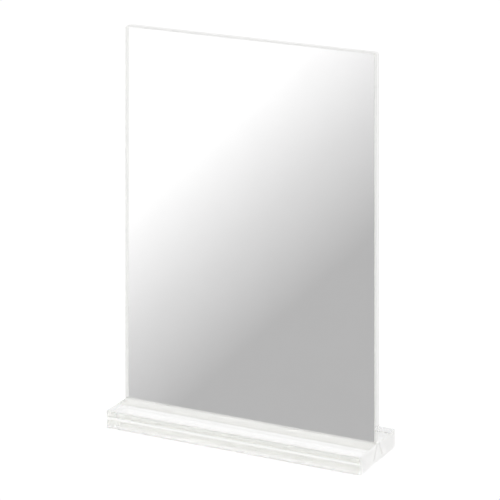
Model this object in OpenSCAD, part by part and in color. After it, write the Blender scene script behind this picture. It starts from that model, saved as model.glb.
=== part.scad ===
// Countertop mirror: a mirror plate stands between two clear sheets, whose bent feet
// slide endwise into the splayed slots of a clear base bar.
// Millimetres. X runs along the base bar, -Y is the side that the mirror faces, Z is up.
// The origin is the middle of the base bar's underside.

/* [Base bar] */
// Length of the base bar
base_length = 210; // [120:1:320]
// Depth of the base bar from front to back
base_depth = 62.8; // [44:0.2:100]
// Height of the base bar
base_height = 13.3; // [9:0.1:18]
// Chamfer on the outer edges of the base bar
base_edge = 0.4; // [0.1:0.1:1]
// Thickness left under the slots
base_floor = 3; // [1.5:0.1:5]
// Depth of the slots' upright mouth, from the top of the base bar to the start of the bend
mouth_depth = 0.6; // [0.2:0.1:1.5]
// Height of the mirror's rest above the top of the base bar
rest_rise = 0.4; // [0.2:0.1:3]
// Gap between a foot and each wall of its slot
slot_clear = 0.15; // [0.05:0.05:0.3]

/* [Clear sheets] */
// Height of the sheets' top edge above the table
stand_height = 299; // [150:1:450]
// Distance from each end of the base bar to the sheets' side edge
sheet_inset = 0.2; // [0:0.1:10]
// Thickness of one sheet
sheet_thickness = 1.5; // [1:0.1:2.5]
// Radius of the sheets' top corners
sheet_corner = 2; // [0.5:0.1:8]
// Chamfer along the sheets' top edge
sheet_edge = 0.2; // [0.05:0.05:0.4]
// Angle of the feet from upright
splay_angle = 32; // [20:1:40]
// Radius on the inside of the feet's bend
bend_radius = 1; // [0.5:0.1:2]
// Gap between a foot and the floor of its slot
foot_clear = 0.1; // [0.05:0.05:0.3]

/* [Mirror] */
// Thickness of the clear plate that carries the reflecting coat on its front
plate_thickness = 1.9; // [0.9:0.1:3]
// Thickness of the reflecting coat with the lacquer behind it
coat_thickness = 0.1; // [0.05:0.05:0.3]
// Gap between the mirror and each sheet
mirror_clear = 0.1; // [0.05:0.05:0.5]
// Distance from the sheets' side edge to the mirror's side edge
mirror_side_inset = 2.05; // [0:0.05:10]
// Distance from the sheets' top edge to the mirror's top edge
mirror_top_inset = 1.2; // [0:0.1:10]
// Radius of the mirror's top corners
mirror_corner = 1; // [0.3:0.1:8]

/* [Hidden] */
// Sheets: width, and the room between them that holds the mirror
sheet_width = base_length - 2 * sheet_inset;
mirror_thickness = plate_thickness + coat_thickness;
pocket_gap = mirror_thickness + 2 * mirror_clear;
pack_thickness = pocket_gap + 2 * sheet_thickness;

// Centre of the front foot's bend, as [y, z]
bend_centre = [-pack_thickness / 2 - bend_radius, base_height - mouth_depth];
foot_level = base_floor + foot_clear;

// Mirror: it stands on the core between the two slots
rest_level = base_height + rest_rise;
mirror_width = sheet_width - 2 * mirror_side_inset;
mirror_height = stand_height - mirror_top_inset - rest_level;
coat_front = -mirror_thickness / 2;
plate_front = coat_front + coat_thickness;
plate_back = plate_front + plate_thickness;

// Cutting room that takes a cut clear past a face
over = 1;
bend_steps = 8;
$fn = 48;

clear_acrylic = [0.90, 0.94, 0.94, 0.35];
silver = [0.80, 0.81, 0.82];

// One face of the bent sheet, from the bend down to the foot: an arc about the bend's
// centre, then a straight leg along the splay down to the given level
function bend_face(radius, foot) =
    let (
        arc = [for (i = [0 : bend_steps])
            let (a = splay_angle * i / bend_steps)
            bend_centre + radius * [cos(a), -sin(a)]],
        knee = arc[bend_steps]
    )
    concat(arc, [[knee[0] - tan(splay_angle) * (knee[1] - foot), foot]]);

function reversed(points) = [for (i = [len(points) - 1 : -1 : 0]) points[i]];

// Section of the front sheet in Y and Z, from its top edge to its foot.
// grow moves both faces outwards, which turns the sheet's section into its slot's.
module sheet_section(top, foot, grow = 0, edge = 0) {
    front_radius = bend_radius - grow;
    back_radius = bend_radius + sheet_thickness + grow;
    front_y = bend_centre[0] + front_radius;
    back_y = bend_centre[0] + back_radius;
    polygon(concat(
        [[back_y, top - edge], [back_y - edge, top], [front_y + edge, top], [front_y, top - edge]],
        bend_face(front_radius, foot),
        reversed(bend_face(back_radius, foot))
    ));
}

// Carries a section drawn in Y and Z along X, centred on the origin
module along_x(length)
    rotate([90, 0, 90])
        translate([0, 0, -length / 2])
            linear_extrude(length) children();

// Carries an outline drawn in X and Z from one Y to another
module along_y(from, to)
    translate([0, to, 0])
        rotate([90, 0, 0])
            linear_extrude(to - from) children();

// Upright rectangle, centred on x = 0, with its two top corners rounded
module rounded_top(width, bottom, top, radius) {
    translate([-width / 2, bottom])
        square([width, top - bottom - radius]);
    translate([radius - width / 2, bottom])
        square([width - 2 * radius, top - bottom]);
    for (side = [-1, 1])
        translate([side * (width / 2 - radius), top - radius])
            circle(radius);
}

// Rectangle about the origin with its four corners cut at 45 degrees
module chamfered_rectangle(width, height, cut) {
    x = width / 2;
    y = height / 2;
    polygon([
        [x, y - cut], [x - cut, y], [cut - x, y], [-x, y - cut],
        [-x, cut - y], [cut - x, -y], [x - cut, -y], [x, cut - y]
    ]);
}

// The bar before its slots are cut, chamfered along its length and at its upright edges
module base_block()
    intersection() {
        along_x(base_length)
            translate([0, base_height / 2])
                chamfered_rectangle(base_depth, base_height, base_edge);
        linear_extrude(base_height)
            chamfered_rectangle(base_length, base_depth, base_edge);
    }

module base_bar()
    color(clear_acrylic)
    difference() {
        union() {
            base_block();
            along_x(base_length - 2 * base_edge)
                translate([-pocket_gap / 2, base_floor])
                    square([pocket_gap, rest_level - base_floor]);
        }
        for (side = [0, 1])
            mirror([0, side, 0])
                along_x(base_length + 2 * over)
                    sheet_section(rest_level + over, base_floor, grow = slot_clear);
    }

module clear_sheet()
    color(clear_acrylic)
    intersection() {
        along_x(sheet_width)
            sheet_section(stand_height, foot_level, edge = sheet_edge);
        along_y(-base_depth / 2, 0)
            rounded_top(sheet_width, 0, stand_height, sheet_corner);
    }

module front_sheet() clear_sheet();

module rear_sheet() mirror([0, 1, 0]) clear_sheet();

module mirror_layer(from, to)
    along_y(from, to)
        rounded_top(mirror_width, rest_level, rest_level + mirror_height, mirror_corner);

module mirror_plate() color(clear_acrylic) mirror_layer(plate_front, plate_back);

module mirror_coat() color(silver) mirror_layer(coat_front, plate_front);

base_bar();
front_sheet();
rear_sheet();
mirror_plate();
mirror_coat();
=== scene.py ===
# %% [markdown]
# A countertop mirror in clear acrylic, made in Blender.
# The object is a thick clear bar, two clear sheets whose bent feet sit in slots in the bar,
# and a mirror plate that stands loose between the sheets. Almost all of it is see-through,
# so the lesson is about clean meshes, thin gaps and the light that a clear piece bends.
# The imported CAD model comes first: it gives every size and place, and it never moves.

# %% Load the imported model
import math

import bmesh
import bpy
from mathutils import Matrix, Vector


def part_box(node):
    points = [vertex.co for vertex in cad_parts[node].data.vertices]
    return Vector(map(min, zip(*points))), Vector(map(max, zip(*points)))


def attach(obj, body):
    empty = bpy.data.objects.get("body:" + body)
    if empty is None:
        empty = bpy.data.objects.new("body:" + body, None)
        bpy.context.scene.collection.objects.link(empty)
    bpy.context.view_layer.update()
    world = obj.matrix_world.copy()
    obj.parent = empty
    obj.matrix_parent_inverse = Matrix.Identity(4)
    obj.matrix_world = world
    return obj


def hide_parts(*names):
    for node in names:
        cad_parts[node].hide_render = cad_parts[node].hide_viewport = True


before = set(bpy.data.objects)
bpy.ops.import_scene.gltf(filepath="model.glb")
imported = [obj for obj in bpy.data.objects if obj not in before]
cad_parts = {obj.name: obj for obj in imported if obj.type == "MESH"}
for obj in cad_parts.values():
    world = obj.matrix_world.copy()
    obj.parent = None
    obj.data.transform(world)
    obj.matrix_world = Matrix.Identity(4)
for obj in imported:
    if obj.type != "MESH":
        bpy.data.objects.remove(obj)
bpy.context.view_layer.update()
scene = bpy.context.scene

# %% [markdown]
# The boxes of the CAD nodes say how long, wide and thick each piece is. What a box can't
# say, such as the bend of a sheet's foot, is written here in millimetres as on a drawing.

# %% Sizes of the pieces
MM = 0.001

bar_low, bar_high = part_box("base_bar")
sheet_low, sheet_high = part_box("front_sheet")
plate_low, plate_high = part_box("mirror_plate")
coat_low, coat_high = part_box("mirror_coat")

sheet_thickness = 1.5 * MM
splay = math.radians(32)
bend_radius = 1.0 * MM
mouth_depth = 0.6 * MM
slot_clear = 0.15 * MM
slot_floor = 3.0 * MM
rest_rise = 0.4 * MM
bar_edge = 0.4 * MM
under_edge = 0.6 * MM

bar_top = bar_high.z - rest_rise
sheet_back = sheet_high.y
sheet_front = sheet_back - sheet_thickness
bend_centre = Vector((0, sheet_front - bend_radius, bar_top - mouth_depth))
print("bar top", round(bar_top / MM, 2), "sheet front", round(sheet_front / MM, 2), "mm")

# %% [markdown]
# The photograph's uprights stay parallel although it looks down on the object. A view camera
# does that by keeping its back upright and moving its lens down. A lens shift in Blender would
# have to be more than a frame and a half, which no other view could use, so the picture plane
# is kept upright another way: the camera's own upright axis is vertical while its view axis
# looks down, as a sheared frame. It rides on an empty that carries that frame.

# %% Camera
PHOTO = 500
view_azimuth = math.radians(26.57)
view_distance = 1.999
focal_pixels = 2668.0
horizon_row = -560.0
aim = Vector((0, 0, 0.160))
aim_column, aim_row = 249.5, 223.7
SENSOR = 36
view_depth = 50

across = Vector((math.cos(view_azimuth), math.sin(view_azimuth), 0))
ahead = Vector((-math.sin(view_azimuth), math.cos(view_azimuth), 0))
upright = Vector((0, 0, 1))
per_pixel = view_distance / focal_pixels
eye = aim - ahead * view_distance
eye += across * ((PHOTO / 2 - aim_column) * per_pixel)
eye += upright * ((aim_row - horizon_row) * per_pixel)
view_axis = ahead + upright * ((horizon_row - PHOTO / 2) / focal_pixels)

camera = bpy.data.objects.new("camera", bpy.data.cameras.new("camera"))
camera_frame = bpy.data.objects.new("camera_frame", None)
for item in (camera, camera_frame):
    scene.collection.objects.link(item)
camera.data.sensor_width = SENSOR
camera.data.lens = SENSOR * focal_pixels * view_axis.length / PHOTO
camera.data.clip_end = view_depth
camera.parent = camera_frame
columns = (across, upright, -view_axis.normalized(), eye)
camera.matrix_parent_inverse = Matrix(
    [[column[row] for column in columns] for row in range(3)] + [[0, 0, 0, 1]]
)
scene.camera = camera
print("camera stands", round(eye.z, 3), "m high, lens", round(camera.data.lens, 1), "mm")

# %% [markdown]
# Every material and the world are node trees. One function adds a node, sets it and links it,
# and another turns the colours, which are written as on a paint card, to linear light.

# %% Helpers for node trees
def colour(hex_code):
    """An sRGB hex colour as linear red, green, blue and alpha."""
    parts = [int(hex_code[i:i + 2], 16) / 255 for i in (1, 3, 5)]
    linear = [c / 12.92 if c <= 0.04045 else ((c + 0.055) / 1.055) ** 2.4 for c in parts]
    return (*linear, 1.0)


def add(tree, kind, inputs, **settings):
    """Adds one node, sets it, and fills or links its inputs."""
    node = tree.nodes.new("ShaderNode" + kind)
    for name, value in settings.items():
        setattr(node, name, value)
    for socket, value in inputs.items():
        if isinstance(value, bpy.types.NodeSocket):
            tree.links.new(value, node.inputs[socket])
        else:
            node.inputs[socket].default_value = value
    return node


def new_material(name):
    """An empty material and its node tree."""
    material = bpy.data.materials.new(name)
    material.use_nodes = True
    material.node_tree.nodes.clear()
    return material, material.node_tree


print("colour #808080 is", round(colour("#808080")[0], 3), "in linear light")

# %% [markdown]
# The light that runs along inside a thin clear sheet is turned back hundreds of times before
# it leaves at the far edge, so the bounce limits are high, or the edges would turn black. The
# light that dust scatters fades sooner and needs fewer turns. Filter Glossy is off, because it
# would blur and dim the light that satin faces scatter in the bar. Guiding lets the paths that
# start on a satin face learn where the light is, which clears the speckle near the bar's ends.
# The denoiser looks at the colours of the surfaces and not at their directions, which change
# from ray to ray in a piece that light is bent in.

# %% Paths of light
INNER_TURNS = 400
DUST_TURNS = 16

scene.view_settings.view_transform = "Standard"
scene.cycles.max_bounces = INNER_TURNS
scene.cycles.glossy_bounces = INNER_TURNS
scene.cycles.transmission_bounces = INNER_TURNS
scene.cycles.diffuse_bounces = DUST_TURNS
scene.cycles.blur_glossy = 0
scene.cycles.use_guiding = True
scene.cycles.denoising_input_passes = "RGB_ALBEDO"
print("light turns up to", INNER_TURNS, "times in clear pieces and", DUST_TURNS, "on dust")

# %% [markdown]
# Light for a clear object is mostly what stands around it. Here that is an arch, seen from the
# end of the bar: a white backdrop behind, a soft light overhead and a reflector in front, with
# darker gaps between them and a dark room on the camera's side. Each of them shows as one of
# the tones in the bar. The backdrop fills the bands of its front, the overhead light the line
# along its foot, and the reflector reaches its top face by way of the mirror. A white panel on
# the right lights the sawn end. A lamp would only add a hard glint, so there is none.

# %% Arch of light
# Height over the back horizon in degrees, and the level of light there
ARCH = (
    (0, 0.97), (38, 0.97),
    (46, 0.41), (84, 0.41),
    (92, 1.10), (122, 1.10),
    (128, 0.20), (140, 0.20),
    (148, 1.22), (161, 1.22),
    (165, 0.05), (180, 0.05),
)
# The right panel, as a share of the way from the middle to the far right
panel_start, panel_end = -0.3, 0.0

world = bpy.data.worlds.new("studio_arch")
scene.world = world
world.use_nodes = True
tree = world.node_tree
tree.nodes.clear()
path = add(tree, "LightPath", {})
way = add(tree, "TexCoord", {})
parts = add(tree, "SeparateXYZ", {0: way.outputs["Generated"]})
height = add(tree, "Math", {
    0: parts.outputs["Z"], 1: parts.outputs["Y"],
}, operation="ARCTAN2")
share = add(tree, "Math", {0: height.outputs[0], 1: math.pi}, operation="DIVIDE", use_clamp=True)
arch = add(tree, "ValToRGB", {"Fac": share.outputs[0]})
stops = arch.color_ramp.elements
for degrees, level in ARCH[1:-1]:
    stops.new(degrees / 180).color = (level, level, level, 1)
stops[0].color = (*[ARCH[0][1]] * 3, 1)
stops[-1].color = (*[ARCH[-1][1]] * 3, 1)
panel = add(tree, "MapRange", {
    "Value": parts.outputs["X"], "From Min": panel_start, "From Max": panel_end,
}, interpolation_type="SMOOTHSTEP")
around = add(tree, "Mix", {
    "Factor": panel.outputs["Result"], 6: arch.outputs["Color"], 7: colour("#FFFFFF"),
}, data_type="RGBA")
lit = add(tree, "Background", {"Color": around.outputs[2]})
white = add(tree, "Background", {"Color": colour("#FFFFFF")})
seen = add(tree, "MixShader", {
    0: path.outputs["Is Camera Ray"], 1: lit.outputs[0], 2: white.outputs[0],
})
add(tree, "OutputWorld", {"Surface": seen.outputs[0]})
print("arch of light with", len(stops), "stops")

# %% [markdown]
# The floor is a plain white table. To the camera it is the white of the background. In a
# reflection, or through a clear piece, it is shown a little lower, as the light grey that a
# white table is before a picture's background is cleaned: that grey draws the clear margins
# and edges on the white. A small share of plain diffuse white keeps the shadow where the bar
# stands. The floor lies a hair under the bar, because two faces in one place would flicker.

# %% Floor
floor_size = 8
floor_gap = 0.3 * MM
floor_glow = 0.94
table_glow = 0.84
floor_shade = 0.12

bpy.ops.object.select_all(action="DESELECT")
bpy.ops.mesh.primitive_plane_add(size=floor_size, location=(0, 0, -floor_gap))
floor = bpy.context.object
floor.name = "floor"
material, tree = new_material("white_floor")
path = add(tree, "LightPath", {})
either = add(tree, "Math", {
    0: path.outputs["Is Camera Ray"], 1: path.outputs["Is Glossy Ray"],
}, operation="ADD")
shown = add(tree, "Math", {
    0: either.outputs[0], 1: path.outputs["Is Transmission Ray"],
}, operation="ADD", use_clamp=True)
plain = add(tree, "BsdfDiffuse", {"Color": colour("#F2F2F2")})
shade = add(tree, "BsdfDiffuse", {"Color": (floor_shade, floor_shade, floor_shade, 1)})
level = add(tree, "MapRange", {
    "Value": path.outputs["Is Camera Ray"], "To Min": table_glow, "To Max": floor_glow,
})
glow = add(tree, "Emission", {"Color": colour("#FFFFFF"), "Strength": level.outputs["Result"]})
white = add(tree, "AddShader", {0: shade.outputs[0], 1: glow.outputs[0]})
mixed = add(tree, "MixShader", {0: shown.outputs[0], 1: plain.outputs[0], 2: white.outputs[0]})
add(tree, "OutputMaterial", {"Surface": mixed.outputs[0]})
floor.data.materials.append(material)
print("floor", floor_gap / MM, "mm under the bar")

# %% [markdown]
# Clear acrylic bends light less than glass, with an index of 1.49, and thick pieces have a
# faint warm green-grey tint that comes from the length of the path inside. That is a volume
# absorption: the thin sheets stay white and the long bar is tinted.
# Faces that were polished or drawn are smooth, with very shallow marks of how they were made.
# Where a piece was sawn or milled and only buffed, the cut is satin. A part of the light goes
# on through it, spread by the roughness, and most of it is thrown back as by fine white dust,
# which is a share of plain diffuse in a tone just under white. The saw's lines are a faint
# change in that roughness. Where a cut faces down onto the table it is given a grey tone,
# which is painted shade: the dark line where the bar stands on the table.
# Polished and cut faces are one material, told apart by a face attribute, because a ray that
# enters a piece through one material and leaves it through another would carry the tint out
# with it. The attribute is 0 on a polished face and 1 on a sawn one, lies between them on a
# milled one, and is 2 on a cut that also carries painted shade.

# %% Clear acrylic
ACRYLIC_INDEX = 1.49
TINT = "#CBDA7C"
TINT_DENSITY = 0.5
CUT = "cut"
CUT_ROUGHNESS = 0.3
CUT_DUST = 0.9
# A grey for cuts that face down onto the table: painted shade of the bar's contact line.
PAINTED_SHADE_GREY = "#D4D4D0"
SAW_LINE = 0.5 * MM
SAW_STRETCH = (1, 0.1, 1)
SAW_CHANGE = 0.1


def clear_acrylic(name, mark_size, mark_stretch, mark_depth, cut_tone):
    """Clear acrylic with shallow marks of one size on its faces and satin on its cut faces."""
    material, tree = new_material(name)
    place = add(tree, "TexCoord", {})
    cut = add(tree, "Attribute", {}, attribute_name=CUT)
    stretched = add(tree, "Mapping", {"Vector": place.outputs["Object"], "Scale": mark_stretch})
    marks = add(tree, "TexNoise", {
        "Vector": stretched.outputs[0], "Scale": 1 / mark_size, "Detail": 2.0,
    })
    across_cut = add(tree, "Mapping", {"Vector": place.outputs["Object"], "Scale": SAW_STRETCH})
    lines = add(tree, "TexNoise", {
        "Vector": across_cut.outputs[0], "Scale": 1 / SAW_LINE, "Detail": 3.0,
    })
    uneven = add(tree, "MapRange", {
        "Value": lines.outputs["Fac"], "From Min": 0.3, "From Max": 0.7,
        "To Min": (1 - SAW_CHANGE) * CUT_ROUGHNESS, "To Max": (1 + SAW_CHANGE) * CUT_ROUGHNESS,
    })
    rough = add(tree, "Math", {
        0: cut.outputs["Fac"], 1: uneven.outputs[0],
    }, operation="MULTIPLY")
    clear = add(tree, "MapRange", {
        "Value": cut.outputs["Fac"], "To Min": 1.0, "To Max": 1 - CUT_DUST,
    })
    tone = add(tree, "Mix", {
        "Factor": cut.outputs["Fac"], 6: colour("#FFFFFF"), 7: colour(cut_tone),
    }, data_type="RGBA")
    # On a face marked 2 the tone turns to that grey, which is painted shade at the bar's foot.
    painted_shade_share = add(tree, "Math", {
        0: cut.outputs["Fac"], 1: 1.0,
    }, operation="SUBTRACT", use_clamp=True)
    tone = add(tree, "Mix", {
        "Factor": painted_shade_share.outputs[0], 6: tone.outputs[2], 7: colour(PAINTED_SHADE_GREY),
    }, data_type="RGBA")
    relief = add(tree, "Bump", {
        "Height": marks.outputs["Fac"], "Strength": 1.0, "Distance": mark_depth,
    })
    surface = add(tree, "BsdfPrincipled", {
        "Base Color": tone.outputs[2], "Roughness": rough.outputs[0], "IOR": ACRYLIC_INDEX,
        "Transmission Weight": clear.outputs["Result"], "Normal": relief.outputs[0],
    })
    inside = add(tree, "VolumeAbsorption", {"Color": colour(TINT), "Density": TINT_DENSITY})
    add(tree, "OutputMaterial", {"Surface": surface.outputs[0], "Volume": inside.outputs[0]})
    return material


face_reflects = ((ACRYLIC_INDEX - 1) / (ACRYLIC_INDEX + 1)) ** 2
print("a polished face reflects", round(100 * face_reflects, 1), "percent of the light")

# %% [markdown]
# The stand is made from two stocks of acrylic, an extruded bar and cast sheet. They differ in
# the marks that their making left and in how their cuts were finished, so each has a material
# of its own from the same function.

# %% Acrylic of the bar and of the sheets
# The bar was extruded, so its marks are die lines that run along its length. Its cuts were
# buffed until they are almost white.
bar_acrylic = clear_acrylic(
    "clear_acrylic_extruded_bar", mark_size=2.0 * MM, mark_stretch=(0.02, 1, 1),
    mark_depth=0.00005 * MM, cut_tone="#FDFDFC",
)
# The sheets were cast between plates, so their marks are broad and go no special way. Their
# edges are as the saw left them, a light grey.
sheet_acrylic = clear_acrylic(
    "clear_acrylic_cast_sheet", mark_size=25 * MM, mark_stretch=(1, 1, 1),
    mark_depth=0.0005 * MM, cut_tone="#F1F1EF",
)
print("materials", bar_acrylic.name, sheet_acrylic.name)

# %% [markdown]
# The mirror's silver is a bright metal film that was laid on the plate's front in a vacuum,
# where the clear front sheet keeps fingers off it. It is as smooth as the plate, with only a
# trace of mottling in its tone.

# %% Silver film
mottle_size = 30 * MM

silver_film, tree = new_material("silver_film_vacuum_coated")
place = add(tree, "TexCoord", {})
mottle = add(tree, "TexNoise", {
    "Vector": place.outputs["Object"], "Scale": 1 / mottle_size, "Detail": 2.0,
})
tone = add(tree, "Mix", {
    "Factor": mottle.outputs["Fac"], 6: colour("#F5F5F5"), 7: colour("#F8F8F8"),
}, data_type="RGBA")
surface = add(tree, "BsdfPrincipled", {
    "Base Color": tone.outputs[2], "Metallic": 1.0, "Roughness": 0.0,
})
add(tree, "OutputMaterial", {"Surface": surface.outputs[0]})
print("material", silver_film.name)

# %% [markdown]
# Behind the film, seen from the back through the clear plate, is a grey lacquer. It was rolled
# on, so it has a fine orange peel and faint upright streaks, and it is nearly matt.

# %% Grey lacquer
peel_size, peel_depth = 1.2 * MM, 0.02 * MM
roller_streak, streak_stretch = 12 * MM, (1, 1, 0.08)
lacquer_gloss, lacquer_dull = 0.42, 0.62

back_lacquer, tree = new_material("grey_lacquer_rolled")
place = add(tree, "TexCoord", {})
peel = add(tree, "TexNoise", {
    "Vector": place.outputs["Object"], "Scale": 1 / peel_size, "Detail": 2.0,
})
streak = add(tree, "Mapping", {"Vector": place.outputs["Object"], "Scale": streak_stretch})
bands = add(tree, "TexNoise", {
    "Vector": streak.outputs[0], "Scale": 1 / roller_streak, "Detail": 3.0,
})
tone = add(tree, "Mix", {
    "Factor": bands.outputs["Fac"], 6: colour("#94979B"), 7: colour("#A2A5A8"),
}, data_type="RGBA")
dull = add(tree, "MapRange", {
    "Value": peel.outputs["Fac"], "To Min": lacquer_gloss, "To Max": lacquer_dull,
})
relief = add(tree, "Bump", {
    "Height": peel.outputs["Fac"], "Strength": 0.4, "Distance": peel_depth,
})
surface = add(tree, "BsdfPrincipled", {
    "Base Color": tone.outputs[2], "Roughness": dull.outputs[0], "Normal": relief.outputs[0],
})
add(tree, "OutputMaterial", {"Surface": surface.outputs[0]})
print("material", back_lacquer.name)

# %% [markdown]
# Pieces are shaped in edit mode, as by hand. An operator acts on all that is selected, so a few
# small helpers do what a mouse would: they select one piece and nothing else, open it and close
# it, and select its edges or faces by their place or direction.

# %% Helpers for selecting
# Room for rounding when a choice is made by place, and the air between two layers
hair = 0.02 * MM
# An edge that turns more than this is a corner, and a normal longer than this along one axis
# belongs to a face that is square to it
CORNER = math.radians(60)
SQUARE = 0.99


def select(piece):
    """Selects a piece alone and makes it the active one."""
    bpy.ops.object.select_all(action="DESELECT")
    piece.select_set(True)
    bpy.context.view_layer.objects.active = piece


def edit(piece):
    """Opens a piece alone in edit mode."""
    select(piece)
    bpy.ops.object.mode_set(mode="EDIT")


def done():
    """Leaves edit mode."""
    bpy.ops.object.mode_set(mode="OBJECT")


def middle(item):
    """The middle of an edge or a face."""
    return sum((v.co for v in item.verts), Vector()) / len(item.verts)


def pick(piece, kind, test):
    """Selects the edges or faces that pass a test."""
    bpy.ops.mesh.select_mode(type=kind)
    bpy.ops.mesh.select_all(action="DESELECT")
    mesh = bmesh.from_edit_mesh(piece.data)
    chosen = [item for item in (mesh.edges if kind == "EDGE" else mesh.faces) if test(item)]
    for item in chosen:
        item.select_set(True)
    bmesh.update_edit_mesh(piece.data)


print("room for rounding", round(hair / MM, 3), "mm")

# %% [markdown]
# A piece starts as a primitive at its size and place, and modifiers finish it. Its place then
# goes into its mesh, so that a pattern on it stays where it is. The last helper gives a
# finished piece its material and marks its cut faces.

# %% Helpers for shaping
def place_size(piece):
    """Puts a piece's place, turn and scale into its mesh."""
    select(piece)
    bpy.ops.object.transform_apply(location=True, rotation=True, scale=True)


def block(name, low, high):
    """A box between two corners, as a start."""
    bpy.ops.object.select_all(action="DESELECT")
    bpy.ops.mesh.primitive_cube_add(size=1, location=(Vector(low) + Vector(high)) / 2)
    piece = bpy.context.object
    piece.name = name
    piece.scale = Vector(high) - Vector(low)
    place_size(piece)
    return piece


def apply_modifier(piece, kind, **settings):
    """Adds a modifier, sets it and applies it."""
    modifier = piece.modifiers.new(kind.lower(), kind)
    for setting, value in settings.items():
        setattr(modifier, setting, value)
    select(piece)
    bpy.ops.object.modifier_apply(modifier=modifier.name)


def finish_faces(piece, material, how_cut):
    """Gives a piece its material and marks its cut faces, chosen by place and direction."""
    piece.data.materials.append(material)
    marks = [float(how_cut(face.center, face.normal)) for face in piece.data.polygons]
    piece.data.attributes.new(CUT, "FLOAT", "FACE").data.foreach_set("value", marks)
    print(piece.name, len(marks), "faces,", sum(mark > 0 for mark in marks), "of them cut")


# %% [markdown]
# A clear sheet is bent from one flat blank: an upright leaf, a tight bend over a hot wire and
# a straight foot. So it is modelled as it is made. A plane is stood upright, its lower edge is
# spun round the bend, that edge is drawn out into the foot, and Solidify gives the thickness
# evenly on both sides. A saw cut then trims the foot level. The slot in the bar has the same
# shape with a little room, so the same function makes the cutter for it.

# %% A bent leaf
BEND_STEPS = 12


def bent_leaf(name, width, top, foot, thickness):
    """A sheet with its lower edge bent forwards, trimmed level at its foot."""
    middle_y = sheet_front + sheet_thickness / 2
    height = top - bend_centre.z
    bpy.ops.object.select_all(action="DESELECT")
    bpy.ops.mesh.primitive_plane_add(
        size=1, location=(0, middle_y, bend_centre.z + height / 2), rotation=(math.pi / 2, 0, 0)
    )
    leaf = bpy.context.object
    leaf.name = name
    leaf.scale = (width, height, 1)
    place_size(leaf)
    edit(leaf)
    pick(leaf, "EDGE", lambda e: middle(e).z < bend_centre.z + hair)
    bpy.ops.mesh.spin(steps=BEND_STEPS, angle=splay, center=bend_centre, axis=(1, 0, 0))
    length = (bend_centre.z - foot) / math.cos(splay) + thickness
    along = Vector((0, -math.sin(splay), -math.cos(splay))) * length
    bpy.ops.mesh.extrude_edges_move(TRANSFORM_OT_translate={"value": along})
    done()
    apply_modifier(leaf, "SOLIDIFY", thickness=thickness, offset=0, use_even_offset=True)
    edit(leaf)
    bpy.ops.mesh.select_all(action="SELECT")
    bpy.ops.mesh.bisect(
        plane_co=(0, 0, foot), plane_no=(0, 0, 1), use_fill=True, clear_inner=True
    )
    bpy.ops.mesh.select_all(action="SELECT")
    bpy.ops.mesh.normals_make_consistent(inside=False)
    done()
    return leaf


print("feet bent by", round(math.degrees(splay)), "degrees in", BEND_STEPS, "steps")

# %% [markdown]
# The base bar starts as a block. Its long edges are broken with a small bevel, a little wider
# along its foot. There the bevel draws the thin grey line that parts the bar from the table,
# with painted shade in a grey tone on its downward faces. Its ends were cut to length after
# that, so their edges are sharp. The strip in the middle of its top is drawn up into the rest
# that the mirror stands on.

# %% Base bar
rest_half = -sheet_back
bar_edge_steps = 3

bar = block("base_bar_polished", bar_low, (bar_high.x, bar_high.y, bar_top))
edit(bar)
pick(bar, "EDGE", lambda e: middle(e).z < hair and abs(middle(e).x) < hair)
bpy.ops.mesh.bevel(offset=under_edge, segments=1, affect="EDGES")
pick(bar, "EDGE", lambda e: middle(e).z > bar_top - hair and abs(middle(e).x) < hair)
bpy.ops.mesh.bevel(offset=bar_edge, segments=bar_edge_steps, affect="EDGES")
for side in (-1, 1):
    bpy.ops.mesh.select_all(action="SELECT")
    bpy.ops.mesh.bisect(plane_co=(0, side * rest_half, 0), plane_no=(0, 1, 0))
pick(bar, "FACE", lambda f: f.normal.z > SQUARE and abs(middle(f).y) < rest_half)
bpy.ops.mesh.extrude_region_move(TRANSFORM_OT_translate={"value": (0, 0, rest_rise)})
done()
print("bar before its slots has", len(bar.data.polygons), "faces")

# %% [markdown]
# The two splayed slots are cut with slightly thicker copies of the sheet's own bent leaf, so a
# foot has the same room on both sides. Slots and bevels were milled, so they are satin. The
# slots' pale walls, seen through the polished front, are the bands that give the bar its look.
# The right end is satin from the saw, and the left end was polished, as the clear corner there
# shows.

# %% Slots and cut faces of the bar
over = 1.0 * MM
slot_reach = 15 * MM
slot_satin = 0.7
# The mark for a cut that is also painted grey as shade at the bar's foot.
painted_shade_cut = 2.0

for turn in (0, math.pi):
    cutter = bent_leaf(
        "slot_cutter", bar_high.x * 2 + 2 * over, bar_high.z + over, slot_floor,
        sheet_thickness + 2 * slot_clear,
    )
    cutter.rotation_euler.z = turn
    place_size(cutter)
    apply_modifier(bar, "BOOLEAN", operation="DIFFERENCE", object=cutter, solver="EXACT")
    bpy.data.objects.remove(cutter)


def bar_cut(at, n):
    """How far a face is cut: milled slot walls, then the sawn end and bevels, then downward bevels
    with painted shade.
    """
    in_slots = abs(at.y) < slot_reach and slot_floor - hair < at.z < bar_top - hair
    on_bevel = max(abs(c) for c in n) < SQUARE
    if in_slots and abs(n.x) < SQUARE:
        return slot_satin
    # Bevels that face down get painted shade, the grey of the line where the bar meets the table.
    if on_bevel and n.z < 0:
        return painted_shade_cut
    return float(on_bevel or n.x > SQUARE)


finish_faces(bar, bar_acrylic, bar_cut)
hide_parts("base_bar")
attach(bar, "base")

# %% [markdown]
# Each sheet is the leaf itself. Its two top corners are rounded and its long edges are broken
# by a fine bevel, which is what the light catches. Its top and sides are satin from the saw.
# The rear sheet is the same sheet turned round, as on the real stand, so the same function
# makes it and only turns it.

# %% Clear sheets
corner_radius, corner_steps = 2.0 * MM, 8
edge_break, edge_steps = 0.2 * MM, 2
sawn_turn = 0.6


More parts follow.
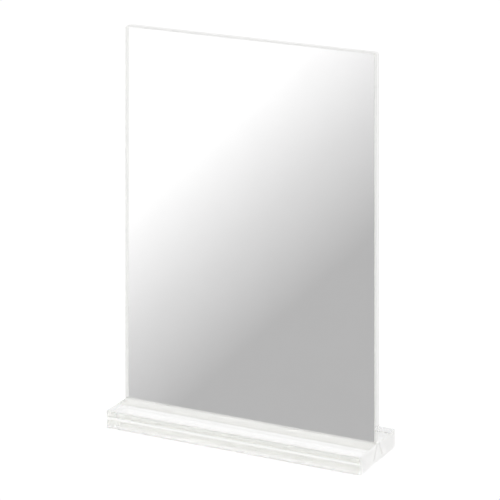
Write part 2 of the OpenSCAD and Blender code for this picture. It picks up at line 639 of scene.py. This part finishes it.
def clear_sheet(name, turn):
    """One bent sheet with rounded top corners and broken edges, turned about the upright axis."""
    sheet = bent_leaf(name, sheet_high.x - sheet_low.x, sheet_high.z, sheet_low.z, sheet_thickness)
    edit(sheet)
    pick(sheet, "EDGE", lambda e: (
        middle(e).z > sheet_high.z - MM and abs(middle(e).x) > sheet_high.x - MM
        and abs(e.verts[0].co.y - e.verts[1].co.y) > sheet_thickness / 2
    ))
    bpy.ops.mesh.bevel(offset=corner_radius, segments=corner_steps, affect="EDGES")
    pick(sheet, "EDGE", lambda e: (
        middle(e).z > bend_centre.z and e.is_manifold and e.calc_face_angle() > CORNER
    ))
    bpy.ops.mesh.bevel(offset=edge_break, segments=edge_steps, affect="EDGES")
    done()
    sheet.rotation_euler.z = turn
    place_size(sheet)
    finish_faces(sheet, sheet_acrylic, lambda at, n: max(abs(n.x), n.z) > sawn_turn)
    return sheet


front_sheet = clear_sheet("front_sheet_bent", 0)
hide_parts("front_sheet")
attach(front_sheet, "front")

rear_sheet = clear_sheet("rear_sheet_bent", math.pi)
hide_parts("rear_sheet")
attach(rear_sheet, "rear")

# %% [markdown]
# The mirror is three layers: the silver film in front, the lacquer behind it and the clear
# plate that carries both. The layers are modelled as thin boxes with the plate's rounded top
# corners. A hair of air is left between them and under them, far too thin to see, because two
# faces in exactly one place give a renderer no way to know which comes first.

# %% Mirror plate, silver film and lacquer
film_thickness = 0.03 * MM
plate_corner, plate_corner_steps = 1.0 * MM, 6
plate_edge = 0.1 * MM
plate_face = 0.8


def mirror_layer(name, front, back, edge):
    """A layer of the mirror from one depth to another, with rounded top corners."""
    layer = block(
        name, (plate_low.x, front, plate_low.z + hair), (plate_high.x, back, plate_high.z)
    )
    edit(layer)
    pick(layer, "EDGE", lambda e: (
        middle(e).z > plate_high.z - hair and abs(middle(e).x) > plate_high.x - hair
    ))
    bpy.ops.mesh.bevel(offset=plate_corner, segments=plate_corner_steps, affect="EDGES")
    if edge:
        pick(layer, "EDGE", lambda e: e.calc_face_angle() > CORNER)
        bpy.ops.mesh.bevel(offset=edge, segments=edge_steps, affect="EDGES")
    done()
    return layer


plate = mirror_layer("mirror_plate_clear", plate_low.y + hair, plate_high.y, plate_edge)
finish_faces(plate, sheet_acrylic, lambda at, n: abs(n.y) < plate_face)
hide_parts("mirror_plate")

film = mirror_layer("mirror_silver_film", coat_low.y, coat_low.y + film_thickness, 0)
film.data.materials.append(silver_film)
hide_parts("mirror_coat")

lacquer = mirror_layer(
    "mirror_back_lacquer", coat_low.y + film_thickness + hair / 2, coat_high.y, 0
)
lacquer.data.materials.append(back_lacquer)

for layer in (plate, film, lacquer):
    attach(layer, "mirror")
print("mirror", [round(s / MM, 1) for s in plate.dimensions], "mm")

# %% [markdown]
# A mirror shows what stands in front of it. In the photograph that is a plain sweep from white
# at the upper left to grey at the lower right, and nothing else, not even the bar below. A
# studio makes that with a graded card held close in front of the mirror. Here the card is a
# part of the stage: only reflections see its face, so it neither hides the mirror nor shades
# it.

# %% Graded card
card_gap = 0.4 * MM
card_side = 3.0 * MM

bpy.ops.object.select_all(action="DESELECT")
bpy.ops.mesh.primitive_plane_add(size=1, rotation=(-math.pi / 2, 0, 0))
card = bpy.context.object
card.name = "graded_card"
card.scale = (2 * (sheet_high.x + card_side), sheet_high.z - bar_top, 1)
card.location = (0, sheet_front - card_gap, (sheet_high.z + bar_top) / 2 + hair)
place_size(card)
card.visible_camera = False
card.visible_diffuse = False
card.visible_shadow = False
print("card faces", [round(c, 1) for c in card.data.polygons[0].normal])

# %% [markdown]
# The card's tone falls evenly along a slanting line, from white through light grey to a middle
# grey, and its back is clear. The bar's top face shows the mirror in a second reflection, from
# so low that it looks under the card, so a ray that was reflected twice goes on to the studio.

# %% Tones of the card
fall_start, fall_end = -0.180, -0.050
fall_across, fall_up = 0.685, -0.729
card_level = 1.1
card_tones = "#FFFFFF", "#DADADA", "#B4B4B4"
# The count of reflections to look for, and how near to it still counts as the same
second_reflection, same_count = 2.0, 0.5

material, tree = new_material("graded_card")
place = add(tree, "TexCoord", {})
parts = add(tree, "SeparateXYZ", {0: place.outputs["Object"]})
sideways = add(tree, "Math", {0: parts.outputs["X"], 1: fall_across}, operation="MULTIPLY")
fall = add(tree, "Math", {
    0: parts.outputs["Z"], 1: fall_up, 2: sideways.outputs[0],
}, operation="MULTIPLY_ADD")
share = add(tree, "MapRange", {
    "Value": fall.outputs[0], "From Min": fall_start, "From Max": fall_end,
})
ramp = add(tree, "ValToRGB", {"Fac": share.outputs["Result"]})
ramp.color_ramp.elements.new(0.5)
for stop, tone in zip(ramp.color_ramp.elements, card_tones):
    stop.color = colour(tone)
glow = add(tree, "Emission", {"Color": ramp.outputs["Color"], "Strength": card_level})
clear = add(tree, "BsdfTransparent", {})
side = add(tree, "NewGeometry", {})
path = add(tree, "LightPath", {})
again = add(tree, "Math", {
    0: path.outputs["Glossy Depth"], 1: second_reflection, 2: same_count,
}, operation="COMPARE")
unseen = add(tree, "Math", {
    0: side.outputs["Backfacing"], 1: again.outputs[0],
}, operation="MAXIMUM")
mixed = add(tree, "MixShader", {0: unseen.outputs[0], 1: glow.outputs[0], 2: clear.outputs[0]})
add(tree, "OutputMaterial", {"Surface": mixed.outputs[0]})
card.data.materials.append(material)
print("card falls from", card_tones[0], "to", card_tones[-1])
